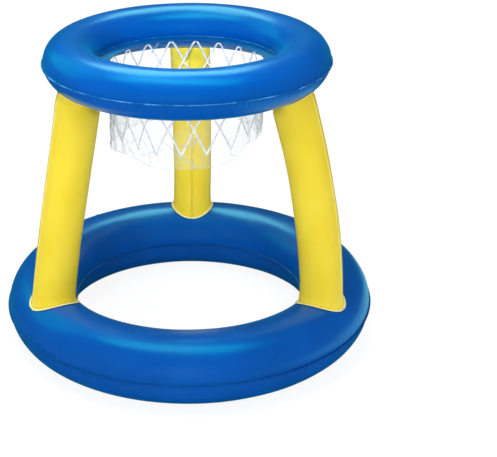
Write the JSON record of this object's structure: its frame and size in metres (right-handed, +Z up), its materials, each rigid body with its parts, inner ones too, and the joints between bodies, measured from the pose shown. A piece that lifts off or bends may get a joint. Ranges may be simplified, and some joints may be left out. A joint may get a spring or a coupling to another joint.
{
  "type": "floating basketball hoop",
  "caption": "Inflatable pool basketball hoop: a base ring that floats, legs that carry a smaller hoop ring, and a clear film skirt with a printed net.",
  "frame": {"origin": "middle of the base ring's flat underside, on the surface that the hoop stands on", "axes": "+Z up through the hoop, +Y towards the back leg"},
  "size_m": [0.6152, 0.6152, 0.5102],
  "materials": {
    "blue_film": "glossy calendered PVC film, blue",
    "yellow_film": "satin calendered PVC film, yellow",
    "clear_film": "clear glossy PVC film, crinkled",
    "white_ink": "white screen-printed ink",
    "clear_vinyl": "milky moulded soft PVC"
  },
  "bodies": {
    "inflated_frame": {"base_ring_upper_panel": "blue_film", "base_ring_lower_panel": "blue_film", "hoop_ring_upper_panel": "blue_film", "hoop_ring_lower_panel": "blue_film", "back_leg_panel_a": "yellow_film", "back_leg_panel_b": "yellow_film", "left_leg_panel_a": "yellow_film", "left_leg_panel_b": "yellow_film", "right_leg_panel_a": "yellow_film", "right_leg_panel_b": "yellow_film", "net_film": "clear_film", "net_print": "white_ink", "base_valve_flange": "clear_vinyl", "hoop_valve_flange": "clear_vinyl"},
    "base_stem": {"base_valve_stem": "clear_vinyl"},
    "base_stopper": {"base_valve_stopper": "clear_vinyl"},
    "base_flap": {"base_valve_flap": "clear_vinyl"},
    "hoop_stem": {"hoop_valve_stem": "clear_vinyl"},
    "hoop_stopper": {"hoop_valve_stopper": "clear_vinyl"},
    "hoop_flap": {"hoop_valve_flap": "clear_vinyl"}
  },
  "joints": [
    {"name": "base_stem_slide", "type": "slide", "parent": "inflated_frame", "child": "base_stem", "axis": [-0.4949, 0.645, 0.5823], "range_m": [0, 0.009]},
    {"name": "base_stopper_hinge", "type": "hinge", "parent": "base_stem", "child": "base_stopper", "pos_m": [-0.1776, 0.23146, 0.09903], "axis": [0.7934, 0.6088, 0], "range_deg": [0, 150]},
    {"name": "base_flap_hinge", "type": "hinge", "parent": "base_stem", "child": "base_flap", "pos_m": [-0.17172, 0.22379, 0.08718], "axis": [-0.7934, -0.6088, 0], "range_deg": [0, 55], "stiffness_Nm_per_rad": 0.00002, "springref_deg": -11.46},
    {"name": "hoop_stem_slide", "type": "slide", "parent": "inflated_frame", "child": "hoop_stem", "axis": [-0.5566, 0.7253, 0.4051], "range_m": [0, 0.009]},
    {"name": "hoop_stopper_hinge", "type": "hinge", "parent": "hoop_stem", "child": "hoop_stopper", "pos_m": [-0.13584, 0.17703, 0.4968], "axis": [0.7934, 0.6088, 0], "range_deg": [0, 150]},
    {"name": "hoop_flap_hinge", "type": "hinge", "parent": "hoop_stem", "child": "hoop_flap", "pos_m": [-0.12862, 0.16762, 0.48717], "axis": [-0.7934, -0.6088, 0], "range_deg": [0, 55], "stiffness_Nm_per_rad": 0.00002, "springref_deg": -11.46}
  ]
}
